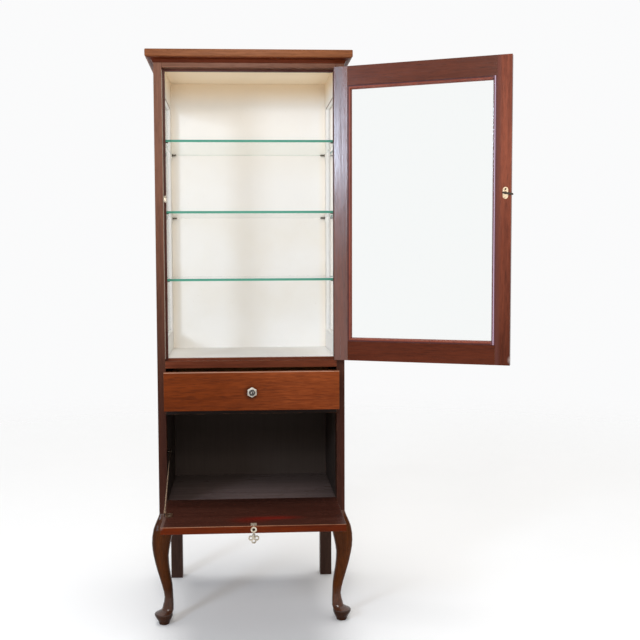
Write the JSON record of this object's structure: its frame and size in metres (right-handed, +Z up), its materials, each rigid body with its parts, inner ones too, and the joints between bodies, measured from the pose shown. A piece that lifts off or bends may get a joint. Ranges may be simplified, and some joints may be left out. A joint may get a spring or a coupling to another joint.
{
  "type": "glass door medical cabinet",
  "caption": "Tall mahogany medical cabinet on cabriole legs, with a glazed door over glass shelves, a drawer and a drop-front compartment.",
  "frame": {"origin": "on the floor, under the middle of the outline of the open cabinet, to the nearest millimetre", "axes": "+Z up from the floor, +X to the right as seen from the front, +Y from the front towards the back"},
  "size_m": [0.9387, 0.6379, 1.5474],
  "materials": {
    "mahogany": "varnished mahogany, satin",
    "red_mahogany": "varnished mahogany, redder and satin",
    "cream_paint": "wood painted cream, worn",
    "dark_wood": "dark stained wood, dull",
    "plain_wood": "bare wood",
    "clear_glass": "clear float glass, green at the edges",
    "cut_glass": "clear pressed glass, six-sided",
    "brass": "aged brass",
    "dark_steel": "dull dark steel"
  },
  "bodies": {
    "case": {"cornice_top": "mahogany", "top_rail": "mahogany", "upper_floor": "cream_paint", "drawer_board": "dark_wood", "lower_floor": "dark_wood", "back_panel": "cream_paint", "front_post_left": "mahogany", "front_post_right": "mahogany", "rear_post_left": "mahogany", "rear_post_right": "mahogany", "front_leg_left": "mahogany", "front_leg_right": "mahogany", "side_panel_left": "mahogany", "side_panel_right": "mahogany", "side_glass_left": "clear_glass", "side_glass_right": "clear_glass", "shelf_top": "clear_glass", "shelf_middle": "clear_glass", "shelf_bottom": "clear_glass", "bracket_top_front_left": "dark_steel", "bracket_top_front_right": "dark_steel", "bracket_top_rear_left": "dark_steel", "bracket_top_rear_right": "dark_steel", "bracket_middle_front_left": "dark_steel", "bracket_middle_front_right": "dark_steel", "bracket_middle_rear_left": "dark_steel", "bracket_middle_rear_right": "dark_steel", "bracket_bottom_front_left": "dark_steel", "bracket_bottom_front_right": "dark_steel", "bracket_bottom_rear_left": "dark_steel", "bracket_bottom_rear_right": "dark_steel", "door_hinge_lower_fixed_leaf": "brass", "door_hinge_upper_fixed_leaf": "brass", "flap_hinge_fixed_leaf": "brass", "stay_pin": "brass"},
    "door": {"door_hinge_stile": "mahogany", "door_latch_stile": "mahogany", "door_top_rail": "mahogany", "door_bottom_rail": "mahogany", "door_glass": "clear_glass", "door_bead": "red_mahogany", "door_hinge_lower_moving_leaf": "brass", "door_hinge_upper_moving_leaf": "brass", "latch_plate": "brass"},
    "latch": {"latch_tongue": "dark_steel", "latch_knob": "cut_glass"},
    "drawer": {"drawer_front": "red_mahogany", "drawer_side_left": "plain_wood", "drawer_side_right": "plain_wood", "drawer_back": "plain_wood", "drawer_bottom": "plain_wood", "drawer_knob": "cut_glass", "drawer_knob_bolt": "brass"},
    "flap": {"flap_panel": "mahogany", "flap_hinge_moving_leaf": "brass", "lock_case": "brass", "stay_foot": "brass"},
    "stay": {"stay_arm": "brass"},
    "key": {"key": "brass"},
    "lock_bolt": {"lock_bolt": "dark_steel"}
  },
  "joints": [
    {"name": "door_hinge", "type": "hinge", "parent": "case", "child": "door", "pos_m": [0.03625, -0.0649, 1.1115], "axis": [0, 0, 1], "range_deg": [-158, 20]},
    {"name": "latch_turn", "type": "hinge", "parent": "door", "child": "latch", "pos_m": [0.44994, -0.23625, 1.1575], "axis": [0.3746, 0.9272, 0], "range_deg": [-10.5, 79.5]},
    {"name": "drawer_slide", "type": "slide", "parent": "case", "child": "drawer", "axis": [0, -1, 0], "range_m": [-0.083, 0.15]},
    {"name": "flap_hinge", "type": "hinge", "parent": "case", "child": "flap", "pos_m": [-0.195, -0.0642, 0.3195], "axis": [-1, 0, 0], "range_deg": [0, 90]},
    {"name": "stay_pivot", "type": "hinge", "parent": "flap", "child": "stay", "pos_m": [-0.42075, -0.2142, 0.3497], "axis": [-1, 0, 0], "range_deg": [-45, 0]},
    {"name": "key_turn", "type": "hinge", "parent": "flap", "child": "key", "pos_m": [-0.195, -0.3037, 0.31], "axis": [0, 0, 1], "range_deg": [0, 90]},
    {"name": "lock_bolt_slide", "type": "slide", "parent": "flap", "child": "lock_bolt", "axis": [0, -1, 0], "range_m": [0, 0.008]}
  ],
  "couplings": [
    {"joint": "stay_pivot", "follows": "flap_hinge", "ratio": -0.5},
    {"joint": "key_turn", "follows": "lock_bolt_slide", "rad_per_m": 196.3}
  ]
}
